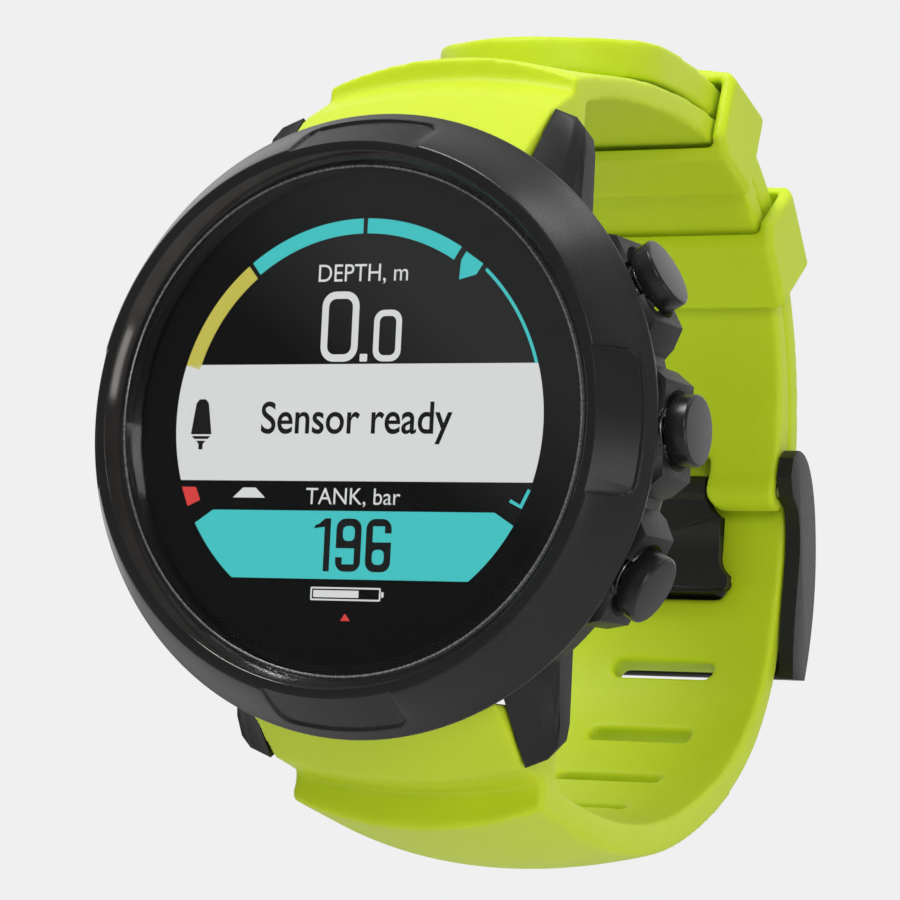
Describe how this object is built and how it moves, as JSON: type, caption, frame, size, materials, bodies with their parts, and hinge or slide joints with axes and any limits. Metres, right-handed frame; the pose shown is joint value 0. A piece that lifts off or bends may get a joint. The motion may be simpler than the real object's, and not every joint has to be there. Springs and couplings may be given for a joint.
{
  "type": "dive computer",
  "caption": "Wrist dive computer with a round screen under flat glass, side pushers and a buckled silicone strap closed in a loop.",
  "frame": {"origin": "centre of the case back's flat face", "axes": "+Z to 12 o'clock, -Y out of the dial, +X to 3 o'clock where the pushers are; +Y points into the wrist"},
  "size_m": [0.0546, 0.0804, 0.0768],
  "materials": {
    "composite": "fine matte glass-fibre composite",
    "bezel_steel": "satin black coated steel",
    "glass": "polished flat glass",
    "seal_rubber": "smooth",
    "screen": "gloss",
    "frame_plastic": "moulded",
    "circuit": "solder mask",
    "cell": "foil",
    "steel": "turned",
    "black_steel": "satin black coated steel",
    "brass": "gold plated",
    "silicone": "matte lime silicone"
  },
  "bodies": {
    "watch": {"case_body": "composite", "bezel": "bezel_steel", "crystal": "glass", "crystal_gasket": "seal_rubber", "display_panel": "screen", "display_chassis": "frame_plastic", "main_board": "circuit", "battery": "cell", "vibration_motor": "steel", "buzzer": "brass", "pressure_sensor": "steel", "sensor_cover": "steel", "antenna_ring": "frame_plastic", "case_back": "steel", "case_back_gasket": "seal_rubber", "case_back_screws": "steel", "charging_contacts": "brass", "side_key_flex": "circuit", "strap_long": "silicone", "strap_short": "silicone", "spring_bar_upper": "steel", "bar_spring_upper": "steel", "spring_bar_lower": "steel", "bar_spring_lower": "steel", "pusher_upper_tube": "steel", "pusher_upper_spring": "steel", "pusher_middle_tube": "steel", "pusher_middle_spring": "steel", "pusher_lower_tube": "steel", "pusher_lower_spring": "steel"},
    "pusher_upper_body": {"pusher_upper": "black_steel", "pusher_upper_seals": "seal_rubber", "pusher_upper_clip": "steel"},
    "pusher_middle_body": {"pusher_middle": "black_steel", "pusher_middle_seals": "seal_rubber", "pusher_middle_clip": "steel"},
    "pusher_lower_body": {"pusher_lower": "black_steel", "pusher_lower_seals": "seal_rubber", "pusher_lower_clip": "steel"},
    "quick_release_upper_body": {"quick_release_upper": "steel"},
    "quick_release_lower_body": {"quick_release_lower": "steel"},
    "keeper_upper_body": {"keeper_upper": "silicone"},
    "keeper_lower_body": {"keeper_lower": "silicone"},
    "buckle_frame_body": {"buckle_frame": "black_steel", "buckle_pin": "steel"},
    "buckle_prong_body": {"buckle_prong": "black_steel"}
  },
  "joints": [
    {"name": "pusher_upper_press", "type": "slide", "parent": "watch", "child": "pusher_upper_body", "axis": [-0.8829, 0, -0.4695], "range_m": [0, 0.0008], "stiffness_N_per_m": 1500, "springref_m": -0.0005},
    {"name": "pusher_middle_press", "type": "slide", "parent": "watch", "child": "pusher_middle_body", "axis": [-1, 0, 0], "range_m": [0, 0.0008], "stiffness_N_per_m": 1500, "springref_m": -0.0005},
    {"name": "pusher_lower_press", "type": "slide", "parent": "watch", "child": "pusher_lower_body", "axis": [-0.8829, 0, 0.4695], "range_m": [0, 0.0008], "stiffness_N_per_m": 1500, "springref_m": -0.0005},
    {"name": "quick_release_upper_slide", "type": "slide", "parent": "watch", "child": "quick_release_upper_body", "axis": [1, 0, 0], "range_m": [0, 0.0013], "stiffness_N_per_m": 800, "springref_m": -0.0005},
    {"name": "quick_release_lower_slide", "type": "slide", "parent": "watch", "child": "quick_release_lower_body", "axis": [1, 0, 0], "range_m": [0, 0.0013], "stiffness_N_per_m": 800, "springref_m": -0.0005},
    {"name": "keeper_upper_slide", "type": "hinge", "parent": "watch", "child": "keeper_upper_body", "pos_m": [0, 0.03, 0.006], "axis": [1, 0, 0], "range_deg": [-5, 3]},
    {"name": "keeper_lower_slide", "type": "hinge", "parent": "watch", "child": "keeper_lower_body", "pos_m": [0, 0.03, 0.006], "axis": [1, 0, 0], "range_deg": [-11, 5]},
    {"name": "buckle_frame_hinge", "type": "hinge", "parent": "watch", "child": "buckle_frame_body", "pos_m": [0, 0.05675, 0.0009], "axis": [1, 0, 0], "range_deg": [0, 2]},
    {"name": "buckle_prong_hinge", "type": "hinge", "parent": "watch", "child": "buckle_prong_body", "pos_m": [0, 0.05675, 0.0009], "axis": [1, 0, 0], "range_deg": [0, 2]}
  ],
  "couplings": [
    {"joint": "buckle_prong_hinge", "follows": "buckle_frame_hinge", "ratio": 1}
  ]
}
